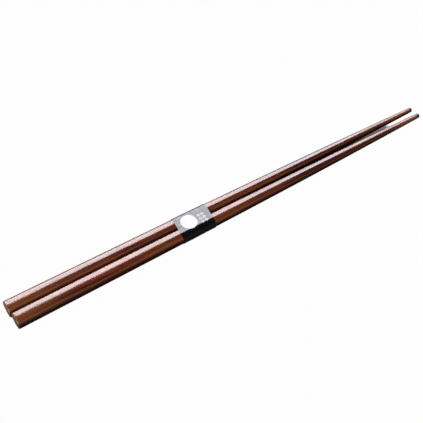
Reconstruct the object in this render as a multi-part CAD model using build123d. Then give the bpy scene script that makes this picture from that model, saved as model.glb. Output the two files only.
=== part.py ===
from build123d import *
import math
import os

# A pair of eight-sided wooden chopsticks, held side by side by a folded paper band.
#
# Lengths are in millimetres. X runs along the pair from the heads (-X) to the tips (+X), Y runs
# across it with the front stick at -Y, and Z is up. The pair lies on the underside of its band, at
# Z = 0, and X = 0 and Y = 0 are the middle of the pair.

# Chopsticks
stick_length = 235.0        # head to tip
head_width = 8.5            # across the flats at the head
tip_width = 2.4             # across the flats at the tip
even_taper = 0.42           # share of the taper that is even, the rest comes on towards the tip
edge_round = 1.25           # radius of the eight long edges at the head, less along the taper
head_round = 0.5            # radius of the rim of the head
taper_stations = 9          # sections that carry the taper

# How the two sticks lie together
touch_station = 30.0        # from the heads to where the sticks come closest
touch_gap = 0.04            # left between them there
head_stagger = 0.5          # how far the front stick lies ahead of the back one

# Paper band
band_start = 90.0           # from the heads to the band's near edge
band_length = 18.5          # along the sticks
paper_thickness = 0.15      # one layer
band_fit = 0.03             # room between the paper and the wood
lap_width = 7.0             # where the strip's end is glued over its start, on the underside
lap_ramp = 0.6              # width over which the outer layer climbs onto the inner one

SIDES = 8
HALF_CORNER = math.radians(180.0 / SIDES)


def width_at(station):
    """Width across the flats at a distance from the head, an even taper and a cubic one."""
    share = station / stick_length
    fall = even_taper * share + (1.0 - even_taper) * share**3
    return head_width - (head_width - tip_width) * fall


def narrowing_at(station):
    """How much that width falls for each millimetre along the stick."""
    share = station / stick_length
    rate = even_taper + 3.0 * (1.0 - even_taper) * share**2
    return (head_width - tip_width) * rate / stick_length


def edge_round_at(station):
    """Radius of the long edges, in the same proportion to the width all along."""
    return edge_round * width_at(station) / head_width


# Places that follow from the sizes above
head_x = -stick_length / 2
band_middle = band_start + band_length / 2
wood_underside = 2.0 * paper_thickness + band_fit


def spacing_at(station):
    """Distance between the two axes, closest where the facing flats lean on each other."""
    touching = width_at(touch_station) + touch_gap
    return touching - narrowing_at(touch_station) * (station - touch_station)


def axis_height_at(station):
    """Height of an axis, with the lowest flat level under the middle of the band."""
    at_band = wood_underside + width_at(band_middle) / 2
    return at_band - narrowing_at(band_middle) / 2 * (station - band_middle)


def across(x):
    """Plane square to the length at x, with Y and Z as its own axes."""
    return Plane(origin=(x, 0, 0), x_dir=(0, 1, 0), z_dir=(1, 0, 0))


def stick_section(station):
    """Eight-sided outline of one stick, flat side up, with its corners eased."""
    flat_up = math.degrees(HALF_CORNER)
    outline = RegularPolygon(width_at(station) / 2, SIDES, major_radius=False, rotation=flat_up)
    return fillet(outline.vertices(), edge_round_at(station))


def make_stick():
    """One chopstick along X with its head at X = 0: eight tapering flats and a ball for a tip."""
    stations = [stick_length * i / (taper_stations - 1) for i in range(taper_stations)]
    wood = loft([across(station) * stick_section(station) for station in stations])
    head_rim = wood.faces().sort_by(Axis.X)[0].edges()
    wood = fillet(head_rim, head_round)

    # The ball just takes in the corners of the eight sides where it starts.
    ball = tip_width / (2.0 * math.cos(HALF_CORNER) - narrowing_at(stick_length))
    shank = stick_length - ball
    room = Cylinder(head_width, shank + head_width, align=(Align.CENTER, Align.CENTER, Align.MAX))
    rounded = Pos(shank, 0, 0) * (Rot(0, 90, 0) * room + Sphere(ball))
    return wood & rounded


def lay_stick(stick, side):
    """Lay a stick in its place: side is +1 for the back one and -1 for the front one."""
    droop = math.degrees(math.atan(narrowing_at(band_middle) / 2))
    turn = -side * math.degrees(math.atan(narrowing_at(touch_station) / 2))
    x = head_x - side * head_stagger / 2
    return Pos(x, side * spacing_at(0) / 2, axis_height_at(0)) * Rot(0, droop, turn) * stick


def band_outline(station, layer):
    """Outline round both sticks at a station, a thickness of paper out from the wood."""
    half_height = width_at(station) / 2 + band_fit + layer
    half_flat = half_height * math.tan(HALF_CORNER)
    side = spacing_at(station) / 2 + half_height
    shoulder = spacing_at(station) / 2 + half_flat
    upper = [(side, half_flat), (shoulder, half_height), (-shoulder, half_height), (-side, half_flat)]
    lower = [(-y, -z) for y, z in upper]
    outline = make_face(Polyline(*upper, *lower, close=True))
    outline = fillet(outline.vertices(), edge_round_at(station) + band_fit + layer)
    middle = wood_underside + width_at(station) / 2
    return across(head_x + station) * Pos(0, middle) * outline


def make_band():
    """The strip of paper folded round both sticks, with its end glued over its start underneath."""
    ends = (band_start, band_start + band_length)
    outside = loft([band_outline(station, paper_thickness) for station in ends], ruled=True)
    inside = loft([band_outline(station, 0.0) for station in ends], ruled=True)
    lap_points = [
        (-lap_width / 2 - lap_ramp, paper_thickness),
        (-lap_width / 2, 0),
        (lap_width / 2, 0),
        (lap_width / 2, paper_thickness),
    ]
    lap_face = across(head_x + band_start) * make_face(Polyline(*lap_points, close=True))
    return outside - inside + extrude(lap_face, band_length)


os.makedirs("parts", exist_ok=True)

chopstick = make_stick()
parts = {
    "back_chopstick": lay_stick(chopstick, +1),
    "front_chopstick": lay_stick(chopstick, -1),
    "paper_band": make_band(),
}

for name, part in parts.items():
    export_step(part, f"parts/{name}.step")
    box = part.bounding_box()
    print(f"{name}: {part.volume:.1f} mm3, from {box.min} to {box.max}")
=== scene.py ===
"""A pair of eight-sided wooden chopsticks in a folded paper band, dressed for a studio picture.

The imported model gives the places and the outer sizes. The sticks and the band are worked out here
again as fine surfaces on the same axes, so that their flats, eased edges, round tips and folds
carry a lacquered wood grain and a printed paper.

Sizes are in millimetres, as on a drawing, and become metres where a mesh is made. X runs from the
heads to the tips, Y from the front stick to the back one, and Z is up.
"""

import logging
import math
from collections.abc import Callable
from dataclasses import dataclass
from enum import Enum
from functools import reduce
from itertools import product
from typing import Any

import bpy
import numpy as np
from mathutils import Matrix, Vector


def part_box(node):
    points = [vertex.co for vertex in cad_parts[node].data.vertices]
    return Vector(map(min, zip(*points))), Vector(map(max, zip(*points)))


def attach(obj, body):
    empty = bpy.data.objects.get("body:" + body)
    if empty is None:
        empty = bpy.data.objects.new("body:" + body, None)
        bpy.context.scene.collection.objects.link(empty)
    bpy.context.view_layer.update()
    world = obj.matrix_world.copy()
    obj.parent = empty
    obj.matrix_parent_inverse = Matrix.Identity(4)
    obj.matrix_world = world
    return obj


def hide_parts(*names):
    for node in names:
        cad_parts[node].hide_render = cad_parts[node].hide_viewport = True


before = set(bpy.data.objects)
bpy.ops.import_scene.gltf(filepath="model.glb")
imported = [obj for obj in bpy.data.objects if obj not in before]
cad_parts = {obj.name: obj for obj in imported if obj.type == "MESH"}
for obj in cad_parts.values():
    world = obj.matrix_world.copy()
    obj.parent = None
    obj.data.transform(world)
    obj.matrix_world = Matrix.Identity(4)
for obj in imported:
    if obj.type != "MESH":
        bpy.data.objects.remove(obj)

MM = 0.001
SIDES = 8
HALF_CORNER = math.radians(180.0 / SIDES)
SAME_PLACE = 1e-6

Colour = tuple[float, float, float]
Place = tuple[float, float, float]
Span = tuple[float, float]
Stops = tuple[tuple[float, Colour], ...]
Array = np.ndarray
Numbers = float | Array

WHITE: Colour = (1.0, 1.0, 1.0)
NO_SHIFT: Place = (0.0, 0.0, 0.0)

log = logging.getLogger("chopsticks")


class Side(Enum):
    """Which stick of the pair: its value is the sign of its place along Y."""

    BACK = 1
    FRONT = -1


class Slot(Enum):
    """The record's material slots."""

    WOOD = "wood"
    BAND_PAPER = "band_paper"


def operator_pair(operation: str) -> tuple[Callable[..., "Wire"], Callable[..., "Wire"]]:
    """Make an operator and its reflected form, each of which adds one Math node.

    Args:
        operation: Blender's name for what the node works out.

    Returns:
        The method that puts its own wire first, and the one that puts it second.
    """

    def plain(wire: "Wire", other: "Value") -> "Wire":
        """Put this wire first."""
        return wire.calculate(operation, wire, other)

    def reflected(wire: "Wire", other: "Value") -> "Wire":
        """Put this wire second."""
        return wire.calculate(operation, other, wire)

    return plain, reflected


@dataclass(frozen=True)
class Wire:
    """A shader socket that can stand in sums, and adds Math nodes to its sheet for them."""

    sheet: "ShaderSheet"
    socket: bpy.types.NodeSocket | None

    def calculate(self, operation: str, first: "Value", second: "Value" = 0.0) -> "Wire":
        """Work out one or two values with a Math node, by Blender's name for the operation."""
        return self.sheet.node("ShaderNodeMath", {"operation": operation}, {0: first, 1: second})

    __add__, __radd__ = operator_pair("ADD")
    __sub__, __rsub__ = operator_pair("SUBTRACT")
    __mul__, __rmul__ = operator_pair("MULTIPLY")
    __truediv__, __rtruediv__ = operator_pair("DIVIDE")
    __pow__, __rpow__ = operator_pair("POWER")

    def __abs__(self) -> "Wire":
        """This without its sign."""
        return self.calculate("ABSOLUTE", self)

    def highest(self, other: "Value") -> "Wire":
        """The larger of this and the other."""
        return self.calculate("MAXIMUM", self, other)

    def fades(self, start: float, end: float) -> "Wire":
        """Run smoothly from 0 at start to 1 at end, and stay there beyond them.

        Args:
            start: The value that gives 0.
            end: The value that gives 1, which may be the smaller one.

        Returns:
            The mask.
        """
        inputs = {"Value": self, "From Min": min(start, end), "From Max": max(start, end)}
        mask = self.sheet.node("ShaderNodeMapRange", {"interpolation_type": "SMOOTHSTEP"}, inputs)
        return mask if start < end else 1.0 - mask

    def axes(self) -> tuple["Wire", "Wire", "Wire"]:
        """The X, Y and Z of a vector, each on its own wire."""
        split = self.sheet.node("ShaderNodeSeparateXYZ", {}, {0: self}).socket.node
        return tuple(Wire(self.sheet, output) for output in split.outputs)


Value = Wire | float


@dataclass(frozen=True)
class Fade:
    """A mask that runs from nothing where a value is at start to its full share at stop."""

    start: float
    stop: float
    share: float = 1.0

    def of(self, value: Wire) -> Wire:
        """The mask that a value gives."""
        return value.fades(self.start, self.stop) * self.share


@dataclass(frozen=True)
class Cloud:
    """A noise pattern: its clouds to a unit of length each way, and how finely it is broken up."""

    scale: Place
    detail: float = 3.0
    roughness: float = 0.55
    distortion: float = 0.0


class ShaderSheet:
    """The nodes of a material or a world, which all come from the method called node."""

    def __init__(self, owner: bpy.types.ID) -> None:
        """Start with no nodes.

        Args:
            owner: The new material or world.
        """
        owner.use_nodes = True
        self.owner = owner
        self.tree = owner.node_tree
        self.tree.nodes.clear()

    def node(
        self,
        kind: str,
        settings: dict[str, Any] | None = None,
        inputs: dict[int | str, Any] | None = None,
        output: int | str = 0,
    ) -> Wire:
        """Add a node.

        Args:
            kind: Blender's type of node.
            settings: Its own settings, set first. "stops" gives a ramp's places and colours.
            inputs: A value or a wire for each socket, by number or identifier.
            output: The number or name of the output that is wanted.

        Returns:
            That output, or a wire with no socket from a node that closes the sheet.
        """
        node = self.tree.nodes.new(kind)
        for name, value in (settings or {}).items():
            if name == "stops":
                self._set_stops(node.color_ramp.elements, value)
            else:
                setattr(node, name, value)
        by_name = {socket.identifier: socket for socket in node.inputs}
        for key, value in (inputs or {}).items():
            socket = node.inputs[key] if isinstance(key, int) else by_name[key]
            if isinstance(value, Wire):
                self.tree.links.new(value.socket, socket)
            elif socket.type == "RGBA":
                socket.default_value = (*value, 1.0)
            else:
                socket.default_value = value
        return Wire(self, node.outputs[output] if len(node.outputs) else None)

    @staticmethod
    def _set_stops(elements: Any, stops: Stops) -> None:
        """Fill a ramp.

        Args:
            elements: The ramp's elements, of which a new one has two.
            stops: Each stop's place and colour, in order.
        """
        while len(elements) < len(stops):
            elements.new(1.0)
        for element, (place, colour) in zip(elements, stops):
            element.position = place
            element.color = (*colour, 1.0)

    def attribute(self, name: str, output: str = "Vector") -> Wire:
        """Read one of the mesh's own attributes."""
        return self.node("ShaderNodeAttribute", {"attribute_name": name}, output=output)

    def scaled(self, vector: Wire, scale: Place, shift: Place = NO_SHIFT) -> Wire:
        """Stretch and move a pattern's coordinates with a Mapping node."""
        return self.node("ShaderNodeMapping", {}, {"Vector": vector, "Scale": scale, "Location": shift})

    def noise(self, vector: Wire, cloud: Cloud, shift: Place = NO_SHIFT) -> Wire:
        """A noise pattern from 0 to 1.

        Args:
            vector: The coordinates.
            cloud: The pattern.
            shift: How far it is moved, in clouds.

        Returns:
            The pattern.
        """
        inputs = {
            "Vector": self.scaled(vector, cloud.scale, shift),
            "Scale": 1.0,
            "Detail": cloud.detail,
            "Roughness": cloud.roughness,
            "Distortion": cloud.distortion,
        }
        return self.node("ShaderNodeTexNoise", {}, inputs)

    def ramp(self, value: Wire, stops: Stops) -> Wire:
        """Colour a value with a ramp."""
        return self.node("ShaderNodeValToRGB", {"stops": stops}, {0: value})

    def blend(self, mask: Value, under: Wire | Colour, over: Wire | Colour, how: str = "MIX") -> Wire:
        """Lay one colour over another.

        Args:
            mask: How much of the upper one shows.
            under: The lower colour.
            over: The upper colour.
            how: Blender's blend type.

        Returns:
            The mixed colour.
        """
        settings = {"data_type": "RGBA", "blend_type": how}
        inputs = {"Factor_Float": mask, "A_Color": under, "B_Color": over}
        return self.node("ShaderNodeMix", settings, inputs, output=2)

    def relief(self, height: Wire, depth: float) -> Wire:
        """A Bump node's normal at half its strength. Depth is what a height of 1 stands for."""
        return self.node("ShaderNodeBump", {}, {"Strength": 0.5, "Distance": depth * MM, "Height": height})

    def finish(self, **inputs: Any) -> bpy.types.ID:
        """Close a material with a Principled shader, its sockets named with underscores for spaces."""
        named = {name.replace("_", " "): value for name, value in inputs.items()}
        return self.close(self.node("ShaderNodeBsdfPrincipled", {}, named))

    def close(self, shader: Wire, kind: str = "ShaderNodeOutputMaterial") -> bpy.types.ID:
        """Link the last shader to the surface through a closing node of that kind."""
        self.node(kind, {}, {"Surface": shader})
        return self.owner


@dataclass(frozen=True)
class SectionSide:
    """A painted mark of light or shade that runs through the whole stick, on one side of its section.

    Reach is measured from the stick's axis, in shares of its width: across times the cosine of the
    angle plus height times its sine.
    """

    angle: float

    def reach(self, across: Wire, height: Wire) -> Wire:
        """How far out a place in the section lies on that side."""
        way = math.radians(self.angle)
        return across * math.cos(way) + height * math.sin(way)


@dataclass(frozen=True)
class PaintedShade(SectionSide):
    """Painted shade, which darkens from one reach to the other."""

    start: float
    stop: float

    def mask(self, across: Wire, height: Wire) -> Wire:
        """How much painted shade lies at a place in the section."""
        return self.reach(across, height).fades(self.start, self.stop)


@dataclass(frozen=True)
class PaintedHighlight(SectionSide):
    """A painted highlight: a fine paler line along the stick at one reach."""

    place: float
    half_width: float = 0.04

    def mask(self, across: Wire, height: Wire) -> Wire:
        """How much of the line shows at a place in the section."""
        return abs(self.reach(across, height) - self.place).fades(self.half_width, 0.0)


@dataclass(frozen=True)
class LacqueredWood:
    """Dark red-brown hardwood under a clear lacquer, with its grain along the stick.

    A fade goes by the values of a noise pattern, by stations from the head or, for the painted
    sheen on the top, by shares of the stick's width.
    """

    name: str
    shift: Place
    painted_shades: tuple[PaintedShade, ...]
    painted_highlight: PaintedHighlight

    dark: Colour = (0.046, 0.0065, 0.003)
    red: Colour = (0.120, 0.022, 0.011)
    brown: Colour = (0.205, 0.048, 0.016)
    gold: Colour = (0.290, 0.098, 0.030)
    amber: Colour = (0.200, 0.070, 0.016)
    # Wear on the arrises, and also painted sheen on the top and painted highlights.
    wear_and_sheen: Colour = (0.300, 0.140, 0.085)
    # Painted shade in the groove between the sticks and low on the front stick.
    painted_shade_colour: Colour = (0.013, 0.0015, 0.0006)
    raw_end: Colour = (0.430, 0.255, 0.090)
    raw_ring: Colour = (0.250, 0.145, 0.050)
    # Darker grey at the very tip.
    tip_grey: Colour = (0.030, 0.026, 0.022)
    fibre_tones: Stops = ((0.25, (0.72, 0.70, 0.68)), (0.75, (1.18, 1.18, 1.18)))
    fleck_tones: Stops = ((0.35, (0.66, 0.60, 0.56)), (0.65, (1.28, 1.26, 1.24)))

    streaks: Cloud = Cloud((0.014, 0.70, 0.70), 4.0, 0.6, 0.3)
    rings: Cloud = Cloud((0.008, 2.6, 2.6), 2.0, 0.5)
    fibres: Cloud = Cloud((0.07, 9.0, 9.0), 3.0, 0.6)
    pores: Cloud = Cloud((0.30, 11.0, 11.0), 1.0, 0.5)
    patches: Cloud = Cloud((0.035, 0.30, 0.30), 2.0, 0.5)
    flecks: Cloud = Cloud((0.17, 1.1, 1.1), 2.0, 0.6)
    smudges: Cloud = Cloud((0.11, 0.5, 0.5), 3.0, 0.6)

    specks: Fade = Fade(0.60, 0.72)
    amber_spots: Fade = Fade(0.42, 0.62, 0.5)
    deeper_from: Fade = Fade(110.0, 185.0, 0.87)
    deeper_until: Fade = Fade(228.0, 214.0)
    pale_tip: Fade = Fade(212.0, 226.0, 0.45)
    pale_head: Fade = Fade(30.0, 2.0, 0.35)
    rubbed_off: Fade = Fade(0.35, 0.75, 0.12)
    # Painted sheen: the top of the stick lighter towards the tips.
    sheen_top: Fade = Fade(0.38, 0.48, 0.6)
    sheen_from: Fade = Fade(160.0, 205.0)
    dull_tip: Fade = Fade(170.0, 230.0, 0.10)
    greyer_tip: Fade = Fade(232.3, 234.2, 0.8)

    fibre_share: float = 0.75
    fleck_share: float = 0.7
    pore_share: float = 0.55
    # How strong the painted highlight is.
    highlight_share: float = 0.6
    end_share: float = 0.8

    roughness: float = 0.20
    smudged: float = 0.16
    pore_dulls: float = 0.10
    end_dulls: float = 0.22
    relief_depth: float = 0.02

    def material(self) -> bpy.types.ID:
        """Build the finish from noise patterns in the stick's own coordinates.

        Returns:
            The material.
        """
        sheet = ShaderSheet(bpy.data.materials.new(self.name))
        grain = sheet.attribute("grain")
        along, _, _ = grain.axes()
        end = sheet.attribute("end", "Fac")
        clouds = (self.streaks, self.rings, self.fibres, self.pores, self.smudges)
        streaks, rings, fibres, pores, smudges = (sheet.noise(grain, cloud, self.shift) for cloud in clouds)
        figure = (streaks + rings) * 0.5
        pores = self.specks.of(pores)

        colour = self._wood(sheet, grain, figure, fibres, pores)
        colour = self._aged(sheet, colour, along, fibres)
        end_grain = sheet.ramp(figure, ((0.42, self.raw_ring), (0.58, self.raw_end)))
        colour = sheet.blend(end * self.end_share, colour, end_grain)

        roughness = self.roughness + (smudges - 0.5) * self.smudged + pores * self.pore_dulls
        roughness = roughness + end * self.end_dulls + self.dull_tip.of(along)
        relief = fibres * 0.14 + smudges * 0.25 - pores * 0.3
        normal = sheet.relief(relief, self.relief_depth)
        return sheet.finish(Base_Color=colour, Roughness=roughness, IOR=1.5, Normal=normal)

    def _wood(self, sheet: ShaderSheet, grain: Wire, figure: Wire, fibres: Wire, pores: Wire) -> Wire:
        """The wood's own colour, from its broad figure down to its pores.

        Args:
            sheet: The material's nodes.
            grain: Place in the stick.
            figure: The broad streaks and year rings.
            fibres: The fine fibres.
            pores: The mask of the pores.

        Returns:
            The colour.
        """
        stops = ((0.36, self.dark), (0.45, self.red), (0.53, self.brown), (0.64, self.gold))
        colour = sheet.ramp(figure, stops)
        patches = sheet.noise(grain, self.patches, self.shift)
        colour = sheet.blend(self.amber_spots.of(patches), colour, self.amber)
        colour = sheet.blend(self.fibre_share, colour, sheet.ramp(fibres, self.fibre_tones), "MULTIPLY")
        flecks = sheet.noise(grain, self.flecks, self.shift)
        colour = sheet.blend(self.fleck_share, colour, sheet.ramp(flecks, self.fleck_tones), "MULTIPLY")
        return sheet.blend(pores * self.pore_share, colour, self.dark)

    def _aged(self, sheet: ShaderSheet, colour: Wire, along: Wire, fibres: Wire) -> Wire:
        """Change the colour along the stick and round its section: darker towards the tips, paler at the
        ends, worn arrises, a painted sheen and painted highlights, painted shade, and a darker grey tip.

        Args:
            sheet: The material's nodes.
            colour: The wood's own colour.
            along: Station from the head.
            fibres: The fine fibres, which rub off unevenly.

        Returns:
            The colour.
        """
        deeper = self.deeper_from.of(along) * self.deeper_until.of(along)
        colour = sheet.blend(deeper, colour, self.dark)
        colour = sheet.blend(self.pale_tip.of(along) + self.pale_head.of(along), colour, self.gold)
        rubbed = sheet.attribute("arris", "Fac") * self.rubbed_off.of(fibres)
        colour = sheet.blend(rubbed, colour, self.wear_and_sheen)
        _, across, height = sheet.attribute("profile").axes()
        # Painted sheen: the top lighter towards the tips.
        painted_sheen = self.sheen_top.of(height) * self.sheen_from.of(along)
        colour = sheet.blend(painted_sheen, colour, self.wear_and_sheen)
        # Painted highlight: a fine paler line along the stick.
        colour = sheet.blend(self.painted_highlight.mask(across, height) * self.highlight_share, colour, self.wear_and_sheen)
        # Painted shade on the sides that lie in the groove and on the lower half of the front stick.
        for layer in self.painted_shades:
            colour = sheet.blend(layer.mask(across, height), colour, self.painted_shade_colour)
        # The very tip turns darker grey.
        return sheet.blend(self.greyer_tip.of(along), colour, self.tip_grey)


@dataclass(frozen=True)
class BandPaper:
    """Black coated paper with a white disc and a small white ornament printed on its top.

    Places are along the sticks and across them, from the middle of the band's top.
    """

    black: Colour = (0.0025, 0.0025, 0.0045)
    rubbed: Colour = (0.060, 0.060, 0.068)
    cut_edge: Colour = (0.200, 0.195, 0.190)
    ink: Colour = (0.640, 0.670, 0.670)
    disc_centre: Span = (-2.44, -0.77)
    disc_radii: Span = (4.02, 4.72)
    ornament_centre: Span = (4.5, -2.0)
    ornament_pitch: Span = (2.15, 2.40)
    lozenge: float = 0.95
    hole_shares: Span = (0.28, 0.42)
    ink_edge: float = 0.05

    flecks: Cloud = Cloud((6.0, 6.0, 6.0), 3.0, 0.6)
    cloud: Cloud = Cloud((0.35, 0.35, 0.35), 3.0, 0.6)
    cloud_shift: Place = (3.0, 0.0, 0.0)
    rubbed_off: Fade = Fade(0.45, 0.75, 0.6)
    ornament_share: float = 0.75
    roughness: float = 0.30
    clouded: float = 0.26
    ink_dulls: float = 0.15
    cut_dulls: float = 0.4
    relief_depth: float = 0.03

    def material(self) -> bpy.types.ID:
        """Build the paper from its fibres, rubbed folds and flat print, on its own flat sheet.

        Returns:
            The material.
        """
        sheet = ShaderSheet(bpy.data.materials.new("coated_band_paper"))
        place = sheet.attribute("sheet")
        along, across, _ = place.axes()
        fold, cut = (sheet.attribute(name, "Fac") for name in ("fold", "cut"))

        flecks = sheet.noise(place, self.flecks)
        cloud = sheet.noise(place, self.cloud, self.cloud_shift)
        colour = sheet.blend(fold * self.rubbed_off.of(flecks), self.black, self.rubbed)
        print_mask = self._disc(along, across).highest(self._ornament(along, across) * self.ornament_share)
        colour = sheet.blend(print_mask, colour, self.ink)
        colour = sheet.blend(cut, colour, self.cut_edge)
        roughness = self.roughness + (cloud - 0.5) * self.clouded
        roughness = roughness + print_mask * self.ink_dulls + cut * self.cut_dulls
        normal = sheet.relief(flecks * 0.3 + cloud * 0.7, self.relief_depth)
        return sheet.finish(Base_Color=colour, Roughness=roughness, IOR=1.5, Normal=normal)

    def _disc(self, along: Wire, across: Wire) -> Wire:
        """The disc: the root of both squared distances from its centre, each over its radius.

        Args:
            along: Place along the sticks on the flat sheet.
            across: Place across them.

        Returns:
            The mask.
        """
        dx = (along - self.disc_centre[0]) / self.disc_radii[0]
        dy = (across - self.disc_centre[1]) / self.disc_radii[1]
        distance = (dx * dx + dy * dy) ** 0.5
        edge = self.ink_edge / self.disc_radii[0]
        return distance.fades(1.0 + edge, 1.0 - edge)

    def _ornament(self, along: Wire, across: Wire) -> Wire:
        """Six small pierced lozenges in two rows: the sum of both distances from each one's centre.

        Args:
            along: Place along the sticks on the flat sheet.
            across: Place across them.

        Returns:
            The mask.
        """
        lozenges = []
        for column, row in product((-0.5, 0.5), (-1.0, 0.0, 1.0)):
            dx = abs(along - (self.ornament_centre[0] + column * self.ornament_pitch[0]))
            dy = abs(across - (self.ornament_centre[1] + row * self.ornament_pitch[1]))
            reach = dx + dy
            pierced = reach.fades(*(share * self.lozenge for share in self.hole_shares))
            shape = reach.fades(self.lozenge + self.ink_edge, self.lozenge - self.ink_edge)
            lozenges.append(shape * pierced)
        return reduce(Wire.highest, lozenges)


@dataclass(frozen=True)
class PaleFloor:
    """A matt, nearly white studio table that is overexposed, as on a picture cut out on white.

    It is shaded right under the back stick towards the tips. The fades run from shade to open
    table by millimetres along X and Y.
    """

    colour: Colour = (0.13, 0.13, 0.13)
    mottled: float = 0.985
    cloud: Cloud = Cloud((3.0, 3.0, 3.0))
    roughness: float = 0.9
    overexposed: float = 0.985
    shade_start: Fade = Fade(60.0, 50.0)
    shade_end: Fade = Fade(99.0, 103.0)
    shade_thins: Fade = Fade(72.0, 100.0, 0.15)
    shade_front: Fade = Fade(1.5, 0.8)
    shade_back: Fade = Fade(3.2, 4.0)

    def material(self) -> bpy.types.ID:
        """Build the table's finish: shaded by the lamps for the object, plain white where it is open.

        Returns:
            The material.
        """
        sheet = ShaderSheet(bpy.data.materials.new("pale_table"))
        place = sheet.node("ShaderNodeTexCoord", output="Object")
        darker = tuple(self.mottled * part for part in self.colour)
        colour = sheet.blend(sheet.noise(place, self.cloud), self.colour, darker)
        inputs = {"Base Color": colour, "Roughness": self.roughness, "IOR": 1.3}
        table = sheet.node("ShaderNodeBsdfPrincipled", {}, inputs)
        glare = sheet.node("ShaderNodeEmission", {}, {"Color": WHITE, "Strength": 1.0})

        x, y, _ = sheet.scaled(place, (1.0 / MM, 1.0 / MM, 1.0 / MM)).axes()
        along = [fade.of(x) for fade in (self.shade_start, self.shade_end, self.shade_thins)]
        across = [fade.of(y) for fade in (self.shade_front, self.shade_back)]
        open_table = reduce(Wire.highest, along + across)
        seen = sheet.node("ShaderNodeLightPath", output="Is Camera Ray") * open_table * self.overexposed
        return sheet.close(sheet.node("ShaderNodeMixShader", {}, {0: seen, 1: table, 2: glare}))


@dataclass(frozen=True)
class Layout:
    """How wide the sticks are along their length, and how the two lie together on the table."""

    stick_length: float = 235.0
    head_width: float = 8.5
    tip_width: float = 2.4
    even_taper: float = 0.42
    edge_round: float = 1.25
    head_round: float = 0.5
    touch_station: float = 30.0
    touch_gap: float = 0.04
    head_stagger: float = 0.5
    band_station: float = 90.0
    band_length: float = 18.5
    paper_thickness: float = 0.15
    band_fit: float = 0.03

    @property
    def band_middle(self) -> float:
        """Station of the middle of the band."""
        return self.band_station + self.band_length / 2

    @property
    def wood_underside(self) -> float:
        """Height of the lowest flat over the table, on two layers of paper."""
        return 2.0 * self.paper_thickness + self.band_fit

    @property
    def head_x(self) -> float:
        """X of the heads, with the pair centred."""
        return -self.stick_length / 2

    def width_at(self, station: Numbers) -> Numbers:
        """Width across the flats: the head's width less an even and a cubic share of the taper.

        Args:
            station: Distance from the head.

        Returns:
            The width.
        """
        share = station / self.stick_length
        fall = self.even_taper * share + (1.0 - self.even_taper) * share**3
        return self.head_width - (self.head_width - self.tip_width) * fall

    def narrowing_at(self, station: Numbers) -> Numbers:
        """How much the width falls for each millimetre along the stick: the slope of width_at.

        Args:
            station: Distance from the head.

        Returns:
            The fall.
        """
        share = station / self.stick_length
        rate = self.even_taper + 3.0 * (1.0 - self.even_taper) * share**2
        return (self.head_width - self.tip_width) * rate / self.stick_length

    def spacing_at(self, station: Numbers) -> Numbers:
        """Distance between the two axes, which close in evenly from where the flats touch."""
        touching = self.width_at(self.touch_station) + self.touch_gap
        return touching - self.narrowing_at(self.touch_station) * (station - self.touch_station)

    def axis_height_at(self, station: Numbers) -> Numbers:
        """Height of an axis, with the lowest flat level under the middle of the band."""
        at_band = self.wood_underside + self.width_at(self.band_middle) / 2
        return at_band - self.narrowing_at(self.band_middle) / 2 * (station - self.band_middle)


def linked(name: str, data: bpy.types.ID) -> bpy.types.Object:
    """Put a mesh, a lamp or a camera into the scene.

    Args:
        name: The new object's name.
        data: What it shows.

    Returns:
        The object.
    """
    item = bpy.data.objects.new(name, data)
    bpy.context.scene.collection.objects.link(item)
    return item


def grid_faces(rows: int, columns: int, closed: bool) -> Array:
    """Number the corners of the quads of a grid.

    Args:
        rows: Points along the first way.
        columns: Points along the second way.
        closed: Whether the last column joins the first.

    Returns:
        Four corner numbers for each quad.
    """
    row = np.arange(rows - 1)[:, None]
    column = np.arange(columns if closed else columns - 1)[None, :]
    following = (column + 1) % columns
    corners = [row * columns + column, row * columns + following]
    corners += [(row + 1) * columns + following, (row + 1) * columns + column]
    return np.stack([np.broadcast_to(c, corners[0].shape) for c in corners], axis=-1).reshape(-1, 4)


@dataclass
class Skin:
    """Points, faces and named point values that become one mesh."""

    points: Array
    faces: list[Array]
    values: dict[str, Array]

    def mesh(self, name: str) -> bpy.types.Object:
        """Make the object, in metres, with smooth faces that point outwards.

        Args:
            name: Name of the object and its mesh.

        Returns:
            The object, at the origin.
        """
        mesh = bpy.data.meshes.new(name)
        mesh.from_pydata(self.points * MM, [], [face for group in self.faces for face in group.tolist()])
        mesh.polygons.foreach_set("use_smooth", np.ones(len(mesh.polygons), bool))
        for key, value in self.values.items():
            kind = "FLOAT_VECTOR" if value.ndim == 2 else "FLOAT"
            layer = mesh.attributes.new(key, kind, "POINT")
            layer.data.foreach_set("vector" if value.ndim == 2 else "value", value.astype(np.float32).ravel())
        mesh.update()
        return linked(name, mesh)


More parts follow.
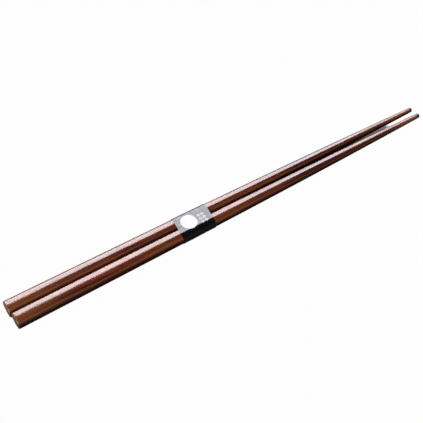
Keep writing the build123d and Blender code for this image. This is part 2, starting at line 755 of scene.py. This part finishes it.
@dataclass
class Chopstick:
    """One stick: eight tapering flats with eased edges, a rounded head rim and a ball for a tip."""

    side: Side
    layout: Layout
    wood: LacqueredWood
    arc_steps: int = 8
    flat_steps: int = 10
    flat_fall: float = 0.0053
    ring_pitch: float = 1.6
    rim_rings: int = 6
    face_rings: int = 5
    tip_rings: int = 14
    tip_clearance: float = 0.01
    crease_power: float = 14.0
    plane_marks: float = 0.016
    mark_waves: tuple[Span, ...] = ((5.3, 1.0), (3.1, 1.7), (11.0, -1.0))
    mark_phase: float = 2.4

    def section(self) -> tuple[Array, Array, Array]:
        """One turn round a section that is one unit across its flats.

        Each corner is an arc about its own centre, and even steps join one arc to the next. The flats
        are rubbed a little round: they fall off by the fourth power of the place from their middle.
        Their nearness to an arris is half its eighth power.

        Returns:
            The points, their outward normals, and how near each is to an arris, from 0 to 1.
        """
        radius = self.layout.edge_round / self.layout.head_width
        centre_reach = (0.5 - radius) / math.cos(HALF_CORNER)
        turn = 2.0 * HALF_CORNER
        corner = np.arange(SIDES)[:, None] * turn
        angle = corner + np.linspace(0.0, turn, self.arc_steps + 1)
        normals = np.stack([np.cos(angle), np.sin(angle)], axis=-1)
        middle = corner + turn / 2
        centres = centre_reach * np.stack([np.cos(middle), np.sin(middle)], axis=-1)
        arcs = centres + radius * normals

        share = np.arange(1, self.flat_steps)[:, None] / self.flat_steps
        from_middle = np.abs(2.0 * share - 1.0)
        start = arcs[:, -1:]
        stop = np.roll(arcs, -1, axis=0)[:, :1]
        flats = start + (stop - start) * share
        flat_normals = np.broadcast_to(normals[:, -1:], flats.shape)
        flats = flats - flat_normals * self.flat_fall * from_middle**4
        arcs = arcs - normals * self.flat_fall
        points = np.concatenate([arcs, flats], axis=1).reshape(-1, 2)
        normals = np.concatenate([normals, flat_normals], axis=1).reshape(-1, 2)
        on_arc = np.ones((SIDES, self.arc_steps + 1))
        on_flat = np.broadcast_to(from_middle[:, 0] ** 8 * 0.5, (SIDES, self.flat_steps - 1))
        arris = np.concatenate([on_arc, on_flat], axis=1).ravel()
        return points, normals, arris

    def stations(self) -> tuple[Array, Array]:
        """Where the rings lie and how far the rim has drawn them in.

        The rim is a quarter circle: its depth is the radius less radius times cosine, and its inset
        the radius less radius times sine. The tip's rings are even in angle round the ball.

        Returns:
            The station of each ring from the head, and its inset.
        """
        rim = self.layout.head_round
        quarter = np.linspace(0.0, math.pi / 2, self.rim_rings + 1)
        rim_places = rim * (1.0 - np.cos(quarter))
        rim_inset = rim * (1.0 - np.sin(quarter))
        count = int((self.shank - rim) / self.ring_pitch)
        body = np.linspace(rim, self.shank, count + 1)[1:]
        bend = np.linspace(0.0, math.pi / 2, self.tip_rings + 1)[1:-1]
        tip = self.shank + (self.ball - self.tip_clearance) * np.sin(bend)
        inset = np.append(rim_inset, np.zeros(len(body) + len(tip)))
        return np.concatenate([rim_places, body, tip]), inset

    @property
    def ball(self) -> float:
        """Radius of the tip's ball, which just takes in the eight corners where it starts."""
        slope = self.layout.narrowing_at(self.layout.stick_length)
        return self.layout.tip_width / (2.0 * math.cos(HALF_CORNER) - slope)

    @property
    def shank(self) -> float:
        """Station of the ball's centre."""
        return self.layout.stick_length - self.ball

    def marks(self, places: Array, points: Array, arris: Array) -> Array:
        """How deep the plane has cut into each flat: long slow waves, deepest along its middle.

        Each wave is the sine of the station over its length plus its share of the flat's own phase.

        Args:
            places: The rings' stations.
            points: The section's points.
            arris: How near each is to an arris.

        Returns:
            A depth for each ring and point, in millimetres.
        """
        flat = np.round(np.arctan2(points[:, 1], points[:, 0]) / (2 * HALF_CORNER))
        phase = flat * self.mark_phase + self.side.value
        run = places[:, None]
        wave = sum(np.sin(run / length + share * phase) for length, share in self.mark_waves)
        return self.plane_marks * (0.5 + wave / (2 * len(self.mark_waves))) * (1.0 - arris)

    def wall(self) -> tuple[Array, Array, Array]:
        """Carry the section along the stick and draw its end in to the ball.

        The ball's reach is the root of its squared radius less the squared distance past its centre.
        It is blended with each point's own: both to a high negative power, added, and back.

        Returns:
            The rings' points across and up, their stations, and the section's nearness to an arris.
        """
        unit, normals, arris = self.section()
        places, inset = self.stations()
        width = self.layout.width_at(places)[:, None, None]
        ring = width * unit - inset[:, None, None] * normals
        ring = ring - self.marks(places, unit, arris)[:, :, None] * normals
        reach = np.linalg.norm(ring, axis=2)
        past = np.clip(places - self.shank, 0.0, None)
        limit = np.sqrt(np.clip(self.ball**2 - past**2, 0.0, None))[:, None]
        limit = np.where(past[:, None] > 0.0, limit, np.inf)
        power = self.crease_power
        blended = (reach**-power + limit**-power) ** (-1.0 / power)
        return ring * (blended / reach)[:, :, None], places, arris

    def skin(self) -> Skin:
        """Close the wall at both ends and lay the stick in its place.

        Returns:
            The whole surface.
        """
        ring, places, arris = self.wall()
        inward = np.linspace(0.0, 1.0, self.face_rings + 1)[1:]
        face = ring[:1] * inward[:, None, None]
        ring = np.concatenate([face[:-1], ring])
        places = np.concatenate([np.zeros(len(face) - 1), places])

        rows, columns = ring.shape[:2]
        along = np.broadcast_to(places[:, None, None], (rows, columns, 1))
        local = np.concatenate([along, ring], axis=2).reshape(-1, 3)
        tip_end = self.layout.stick_length - self.tip_clearance
        local = np.concatenate([local, [[0.0, 0.0, 0.0], [tip_end, 0.0, 0.0]]])
        first = np.arange(columns)
        after = np.roll(first, -1)
        last_row = (rows - 1) * columns
        head_pole, tip_pole = len(local) - 2, len(local) - 1
        head_fan = np.stack([np.full(columns, head_pole), after, first], axis=1)
        tip_fan = np.stack([np.full(columns, tip_pole), last_row + first, last_row + after], axis=1)

        end = np.zeros((rows, columns))
        end[:len(face) - 1 + self.rim_rings // 2] = 1.0
        values = {
            "grain": local,
            "profile": local / self.layout.width_at(local[:, :1]),
            "arris": np.append(np.tile(arris, rows), [0.0, 0.0]),
            "end": np.append(end.ravel(), [1.0, 0.0]),
        }
        faces = [grid_faces(rows, columns, closed=True), head_fan, tip_fan]
        return Skin(self.laid(local), faces, values)

    def laid(self, local: Array) -> Array:
        """Turn the stick so that the flats lean together and its underside lies level at the band.

        Args:
            local: Points with the head at the origin and the stick along X.

        Returns:
            The points in the pair's own place.
        """
        lay = self.layout
        sign = self.side.value
        droop = math.atan(lay.narrowing_at(lay.band_middle) / 2)
        turn = -sign * math.atan(lay.narrowing_at(lay.touch_station) / 2)
        rotation = Matrix.Rotation(droop, 3, "Y") @ Matrix.Rotation(turn, 3, "Z")
        x = lay.head_x - sign * lay.head_stagger / 2
        y = sign * lay.spacing_at(0.0) / 2
        return local @ np.array(rotation).T + np.array([x, y, lay.axis_height_at(0.0)])

    def build(self) -> bpy.types.Object:
        """Make the stick, dress it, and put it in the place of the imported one.

        Returns:
            The piece.
        """
        piece = self.skin().mesh(f"{self.side.name.lower()}_stick_wood")
        piece.data.materials.append(self.wood.material())
        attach(piece, "root")
        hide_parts(f"{self.side.name.lower()}_chopstick")
        return piece


@dataclass
class PaperBand:
    """A strip of paper folded round both sticks, with its end glued over its start underneath.

    Its inside and its cut edges take their pattern from places that lie clear of the print.
    """

    layout: Layout
    paper: BandPaper
    lap_width: float = 7.0
    lap_ramp: float = 0.6
    glue_gap: float = 0.004
    fold_round: float = 0.55
    fold_fade: float = 0.5
    sag: float = 0.07
    slip: float = 0.25
    skew: float = 0.09
    arc_steps: int = 8
    run_points: int = 8
    top_points: int = 29
    rings: int = 38
    top_share: float = 0.9
    level_normal: float = 0.99
    inside_place: Place = (0.0, 200.0, 0.0)
    edge_place: Place = (100.0, 100.0, 100.0)

    def path(self, station: float) -> tuple[Array, Array, Array, Array]:
        """The strip's inner line at a station, from its hidden start to its free end.

        Eight arcs lie round the corners of the two sticks, four on each, and straight runs join them.
        On the underside the line ends with a ramp over its own start and the lap. A point on an arc is
        nearest to the fold in its middle, and less so by the square of its place from there.

        Args:
            station: Distance from the heads.

        Returns:
            The line's points in Y and Z, its outward normals, how near each point is to a fold, and
            the length run along the line from the middle of the top, positive towards the back.
        """
        lay = self.layout
        half = lay.width_at(station) / 2
        reach = (half - self.fold_round) / math.cos(HALF_CORNER)
        middle = np.arange(-3, 2 * SIDES - 3, 2) * HALF_CORNER
        side = np.where(np.arange(SIDES) < SIDES // 2, 1.0, -1.0) * lay.spacing_at(station) / 2
        level = lay.wood_underside + half
        centres = np.stack([side + reach * np.cos(middle), level + reach * np.sin(middle)], axis=1)
        angle = middle[:, None] + np.linspace(-HALF_CORNER, HALF_CORNER, self.arc_steps + 1)
        arc_normals = np.stack([np.cos(angle), np.sin(angle)], axis=-1)
        arcs = centres[:, None] + (self.fold_round + lay.band_fit) * arc_normals

        bottom = level - half - lay.band_fit
        lower = bottom - lay.paper_thickness + self.glue_gap
        down = np.array([0.0, -1.0])
        runs = [self._run(np.array([-self.lap_width / 2, bottom]), arcs[0, 0], down)]
        around = np.linspace(-1.0, 1.0, self.arc_steps + 1)
        for number in range(SIDES):
            runs.append((arcs[number], arc_normals[number], 1.0 - self.fold_fade * around**2))
            if number < SIDES - 1:
                count = self.top_points if number == SIDES // 2 - 1 else self.run_points
                start, stop = arcs[number, -1], arcs[number + 1, 0]
                runs.append(self._run(start, stop, arc_normals[number, -1], count))
        ramp_start = np.array([-self.lap_width / 2 - self.lap_ramp, bottom])
        ramp_end = np.array([-self.lap_width / 2, lower])
        runs.append(self._run(arcs[-1, -1], ramp_start, down))
        runs.append(self._run(ramp_start, ramp_end, down, curve=True))
        runs.append(self._run(ramp_end, np.array([self.lap_width / 2, lower]), down, self.top_points))
        line, normals, fold = (np.concatenate(parts) for parts in zip(*runs))
        keep = np.append(True, np.linalg.norm(np.diff(line, axis=0), axis=1) > SAME_PLACE)
        line, normals, fold = line[keep], normals[keep], fold[keep]
        steps = np.append(0.0, np.cumsum(np.linalg.norm(np.diff(line, axis=0), axis=1)))
        top = (line[:, 1] > level + half * self.top_share) & (np.abs(line[:, 0]) < reach)
        crossing = np.interp(0.0, line[top][::-1, 0], steps[top][::-1])
        return line, normals, fold, crossing - steps

    def _run(
        self, start: Array, stop: Array, normal: Array, count: int = 0, curve: bool = False
    ) -> tuple[Array, Array, Array]:
        """A straight run, or one eased in height like half a wave.

        Args:
            start: Its first point.
            stop: Its last point.
            normal: The outward normal along it.
            count: How many points it has, if not the usual number.
            curve: Whether its height is eased at both ends.

        Returns:
            Its points, their normals and their nearness to a fold, which is nought.
        """
        share = np.linspace(0.0, 1.0, count or self.run_points)[:, None]
        points = start + (stop - start) * share
        if curve:
            points[:, 1] = start[1] + (stop[1] - start[1]) * (0.5 - 0.5 * np.cos(math.pi * share[:, 0]))
        return points, np.broadcast_to(normal, points.shape), np.zeros(len(points))

    def skin(self) -> Skin:
        """Work out the strip's two faces and four cut edges.

        The line at each ring lies evenly between the lines at the band's two ends. The outer face lies
        one thickness along the normals from the inner one, less the glue's gap where it lies under its
        own start. The top sags between the two sticks as a squared cosine of the distance from the
        middle. The strip has slipped a little towards the tips, and more so at the back, in proportion
        to the place across the pair.

        Returns:
            The closed surface.
        """
        lay = self.layout
        ends = (lay.band_station, lay.band_station + lay.band_length)
        first, second = (self.path(station) for station in ends)
        share = np.linspace(0.0, 1.0, self.rings)[:, None, None]
        line = first[0] + (second[0] - first[0]) * share
        across = first[3] + (second[3] - first[3]) * share[:, :, 0]
        normals = np.broadcast_to(first[1], line.shape)
        fold = np.broadcast_to(first[2], line.shape[:2])
        x = lay.head_x + ends[0] + lay.band_length * share + self.slip + self.skew * line[:, :, :1]

        on_top = (normals[:, :, 1] > self.level_normal) & (np.abs(across) < lay.head_width / 2)
        half_flat = lay.width_at(lay.band_middle) / 2 * math.tan(HALF_CORNER)
        valley = lay.spacing_at(lay.band_middle) / 2 - half_flat
        dip = np.cos(np.clip(line[:, :, 0] / valley, -1.0, 1.0) * math.pi / 2) ** 2
        line[:, :, 1] -= np.where(on_top, dip * self.sag, 0.0)

        inner = np.concatenate([x, line], axis=2)
        under_start = lay.wood_underside - lay.band_fit - lay.paper_thickness / 2
        lift = lay.paper_thickness - np.where(line[:, :, 1:] < under_start, self.glue_gap, 0.0)
        outer = np.concatenate([x, line + normals * lift], axis=2)
        count = fold.size
        outside = grid_faces(*fold.shape, closed=False)
        inside = outside[:, ::-1] + count
        edges, rim_points = self._cut_edges(outer, inner, 2 * count)
        points = np.concatenate([outer.reshape(-1, 3), inner.reshape(-1, 3), rim_points])
        flat = [x - lay.head_x - lay.band_middle, across[:, :, None], np.zeros_like(x)]
        place = np.concatenate(flat, axis=2).reshape(-1, 3)
        rim_place = np.broadcast_to(self.edge_place, rim_points.shape)
        values = {
            "sheet": np.concatenate([place, place + np.array(self.inside_place), rim_place]),
            "fold": np.concatenate([fold.ravel(), np.zeros(count + len(rim_points))]),
            "cut": np.concatenate([np.zeros(2 * count), np.ones(len(rim_points))]),
        }
        return Skin(points, [outside, inside, edges], values)

    @staticmethod
    def _cut_edges(outer: Array, inner: Array, offset: int) -> tuple[Array, Array]:
        """Close the strip all round with its own narrow cut edge.

        Args:
            outer: Points of the outer face.
            inner: Points of the inner face.
            offset: Number of the first point that the edge adds.

        Returns:
            The edge's faces and its points.
        """
        def rim(grid: Array) -> Array:
            """The points round a grid, once about."""
            return np.concatenate([grid[0, :-1], grid[:-1, -1], grid[-1, :0:-1], grid[:0:-1, 0]])

        loop = np.stack([rim(inner), rim(outer)])
        return grid_faces(2, loop.shape[1], closed=True) + offset, loop.reshape(-1, 3)

    def build(self) -> bpy.types.Object:
        """Make the band, dress it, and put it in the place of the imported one.

        Returns:
            The piece.
        """
        piece = self.skin().mesh("folded_paper_band")
        piece.data.materials.append(self.paper.material())
        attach(piece, "root")
        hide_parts("paper_band")
        return piece


@dataclass(frozen=True)
class SoftBox:
    """A rectangular lamp that faces the middle of the table, with its place and size in metres."""

    name: str
    place: Place
    size: Span
    radiance: float
    tint: Colour = WHITE

    def build(self) -> None:
        """Hang the lamp and turn it. Its power is pi times its area times its radiance."""
        lamp = bpy.data.lights.new(self.name, "AREA")
        lamp.shape = "RECTANGLE"
        lamp.size, lamp.size_y = self.size
        lamp.energy = math.pi * self.size[0] * self.size[1] * self.radiance
        lamp.color = self.tint
        place = Vector(self.place)
        turn = (-place).to_track_quat("-Z", "Y").to_matrix().to_4x4()
        linked(self.name, lamp).matrix_world = Matrix.Translation(place) @ turn


@dataclass
class Studio:
    """A pale table, a large lamp behind the pair, a smaller one in front of it, and a dim room."""

    floor: PaleFloor
    floor_half: float = 6.0
    lamps: tuple[SoftBox, ...] = (
        SoftBox("lamp_behind", (0.42, 0.92, 1.10), (1.40, 0.50), 14.5, (1.0, 0.965, 1.05)),
        SoftBox("lamp_front", (-1.00, -1.20, 0.85), (0.9, 0.6), 11.5),
    )
    horizon: float = 0.20
    ceiling: float = 0.02
    horizon_ends: float = 12.0
    ceiling_starts: float = 30.0

    def build(self) -> None:
        """Lay the table, hang the lamps and light the room."""
        mesh = bpy.data.meshes.new("pale_table")
        corners = np.array([(-1, -1, 0), (1, -1, 0), (1, 1, 0), (-1, 1, 0)])
        mesh.from_pydata(corners * self.floor_half, [], [(0, 1, 2, 3)])
        mesh.materials.append(self.floor.material())
        table = linked("pale_table", mesh)
        for lamp in self.lamps:
            lamp.build()
        self._light_room()

    def _light_room(self) -> None:
        """Light the room: pale near the horizon, dim overhead, and plain white to look at."""
        world = bpy.data.worlds.new("studio_room")
        bpy.context.scene.world = world
        sheet = ShaderSheet(world)
        _, _, height = sheet.node("ShaderNodeTexCoord", output="Generated").axes()
        limits = [math.sin(math.radians(angle)) for angle in (self.horizon_ends, self.ceiling_starts)]
        light = self.horizon - height.fades(*limits) * (self.horizon - self.ceiling)
        light = light.highest(sheet.node("ShaderNodeLightPath", output="Is Camera Ray"))
        room = sheet.node("ShaderNodeBackground", {}, {"Color": WHITE, "Strength": light})
        sheet.close(room, "ShaderNodeOutputWorld")


@dataclass(frozen=True)
class PhotoCamera:
    """The photograph's viewpoint, from the fit of the pair's outlines."""

    azimuth: float = -25.055
    elevation: float = 47.202
    roll: float = -8.089
    distance: float = 594.216
    target: Place = (-6.722, 1.566, 4.0)
    sensor: float = 36.0
    focal_length: float = 102.128
    clip_start: float = 0.01

    def build(self) -> None:
        """Place the camera: back along azimuth and elevation from its target, then rolled."""
        azimuth, elevation, roll = map(math.radians, (self.azimuth, self.elevation, self.roll))
        level = math.cos(elevation)
        back = Vector((level * math.sin(azimuth), -level * math.cos(azimuth), math.sin(elevation)))
        right = Vector((math.cos(azimuth), math.sin(azimuth), 0.0))
        up = back.cross(right)
        rolled_right = math.cos(roll) * right + math.sin(roll) * up
        rolled_up = -math.sin(roll) * right + math.cos(roll) * up
        place = (Vector(self.target) + self.distance * back) * MM
        lens = bpy.data.cameras.new("photo_camera")
        lens.lens = self.focal_length
        lens.sensor_width = self.sensor
        lens.clip_start = self.clip_start
        camera = linked("photo_camera", lens)
        turn = Matrix((rolled_right, rolled_up, back)).transposed().to_4x4()
        camera.matrix_world = Matrix.Translation(place) @ turn
        bpy.context.scene.camera = camera


def report(piece: bpy.types.Object, node: str) -> None:
    """Log a piece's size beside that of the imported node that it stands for.

    Args:
        piece: The new piece.
        node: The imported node's name.
    """
    points = np.zeros(3 * len(piece.data.vertices))
    piece.data.vertices.foreach_get("co", points)
    points = points.reshape(-1, 3) / MM
    low, high = (np.array(corner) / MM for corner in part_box(node))
    inside = np.minimum(points.min(axis=0) - low, high - points.max(axis=0))
    room = np.round(inside, 3).tolist()
    log.info("%s: %d points, inside %s by %s mm", piece.name, len(points), node, room)


def main() -> None:
    """Build the pair, its band, the studio and the camera."""
    logging.basicConfig(level=logging.INFO, format="%(name)s: %(message)s")
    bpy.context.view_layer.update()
    layout = Layout()
    PhotoCamera().build()
    Studio(PaleFloor()).build()
    bpy.context.scene.view_settings.view_transform = "Standard"

    # Painted shade: the back stick's lower front, in the groove; the front stick's rear side, in the groove,
    # and its lower half.
    back_shades = (PaintedShade(225.0, 0.10, 0.22),)
    front_shades = (PaintedShade(315.0, -0.25, -0.12), PaintedShade(270.0, -0.32, 0.01))
    # The pale line on each stick is a painted highlight.
    back_wood = LacqueredWood("back_stick_wood", (0.0, 3.1, 7.7), back_shades, PaintedHighlight(225.0, 0.04))
    front_wood = LacqueredWood("front_stick_wood", (5.0, 21.3, 12.9), front_shades, PaintedHighlight(225.0, 0.135))
    for side, wood in ((Side.BACK, back_wood), (Side.FRONT, front_wood)):
        report(Chopstick(side, layout, wood).build(), f"{side.name.lower()}_chopstick")
    report(PaperBand(layout, BandPaper()).build(), "paper_band")


if __name__ == "__main__":
    main()
